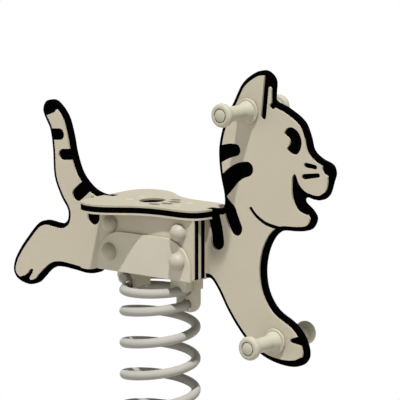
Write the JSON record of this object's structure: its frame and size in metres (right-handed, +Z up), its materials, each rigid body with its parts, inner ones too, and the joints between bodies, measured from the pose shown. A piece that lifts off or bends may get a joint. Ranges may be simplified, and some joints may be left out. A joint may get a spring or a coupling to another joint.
{
  "type": "spring rider",
  "caption": "Playground spring rider: flat animal panel with a seat, hand grips and footrests, held by a steel saddle on a coil spring over a bolted base plate",
  "frame": {"origin": "On the ground, under the axis of the spring, in the middle of the base plate's underside", "axes": "+X towards the animal's head, +Y its left side, +Z up"},
  "size_m": [0.7925, 0.32, 0.7589],
  "materials": {
    "board_skin": "matt, faintly grained",
    "board_core": "satin, routed",
    "painted_steel": "satin powder coat",
    "zinc_steel": "zinc plated",
    "grip_plastic": "moulded, satin",
    "cap_plastic": "moulded, satin"
  },
  "bodies": {
    "base": {"base_plate": "painted_steel", "base_clamp_front": "painted_steel", "base_clamp_left": "painted_steel", "base_clamp_rear": "painted_steel", "base_clamp_right": "painted_steel", "base_clamp_bolts": "zinc_steel"},
    "spring": {"coil_spring": "painted_steel"},
    "rider": {"spring_saddle": "painted_steel", "head_block_front": "painted_steel", "head_block_rear": "painted_steel", "head_jaw_rear": "painted_steel", "coil_stop_plate": "painted_steel", "head_clamp_bolts": "zinc_steel", "head_weld_nuts": "zinc_steel", "body_core": "board_core", "body_skin_right": "board_skin", "body_skin_left": "board_skin", "inner_board_right_core": "board_core", "inner_board_right_skins": "board_skin", "outer_board_right_core": "board_core", "outer_board_right_skins": "board_skin", "inner_board_left_core": "board_core", "inner_board_left_skins": "board_skin", "outer_board_left_core": "board_core", "outer_board_left_skins": "board_skin", "side_bolts": "zinc_steel", "side_washers_right": "zinc_steel", "side_washers_left": "zinc_steel", "side_nuts_right": "zinc_steel", "side_nuts_left": "zinc_steel", "bolt_caps_right": "cap_plastic", "bolt_caps_left": "cap_plastic", "seat_core": "board_core", "seat_top_skin": "board_skin", "seat_under_skin": "board_skin", "seat_screws": "zinc_steel", "seat_plugs": "cap_plastic", "handle_rod": "zinc_steel", "handle_grip_right": "grip_plastic", "handle_grip_left": "grip_plastic", "handle_washers": "zinc_steel", "handle_nuts": "zinc_steel", "handle_end_caps": "cap_plastic", "footrest_rod": "zinc_steel", "footrest_grip_right": "grip_plastic", "footrest_grip_left": "grip_plastic", "footrest_washers": "zinc_steel", "footrest_nuts": "zinc_steel", "footrest_end_caps": "cap_plastic"}
  },
  "joints": [
    {"name": "rock_fore_aft", "type": "hinge", "parent": "base", "child": "spring", "pos_m": [0, 0, 0.105], "axis": [0, 1, 0], "range_deg": [-18, 18], "stiffness_Nm_per_rad": 600, "deforming": ["coil_spring"]},
    {"name": "rock_side", "type": "hinge", "parent": "spring", "child": "rider", "pos_m": [0, 0, 0.228], "axis": [1, 0, 0], "range_deg": [-12, 12], "stiffness_Nm_per_rad": 600, "deforming": ["coil_spring"]}
  ]
}
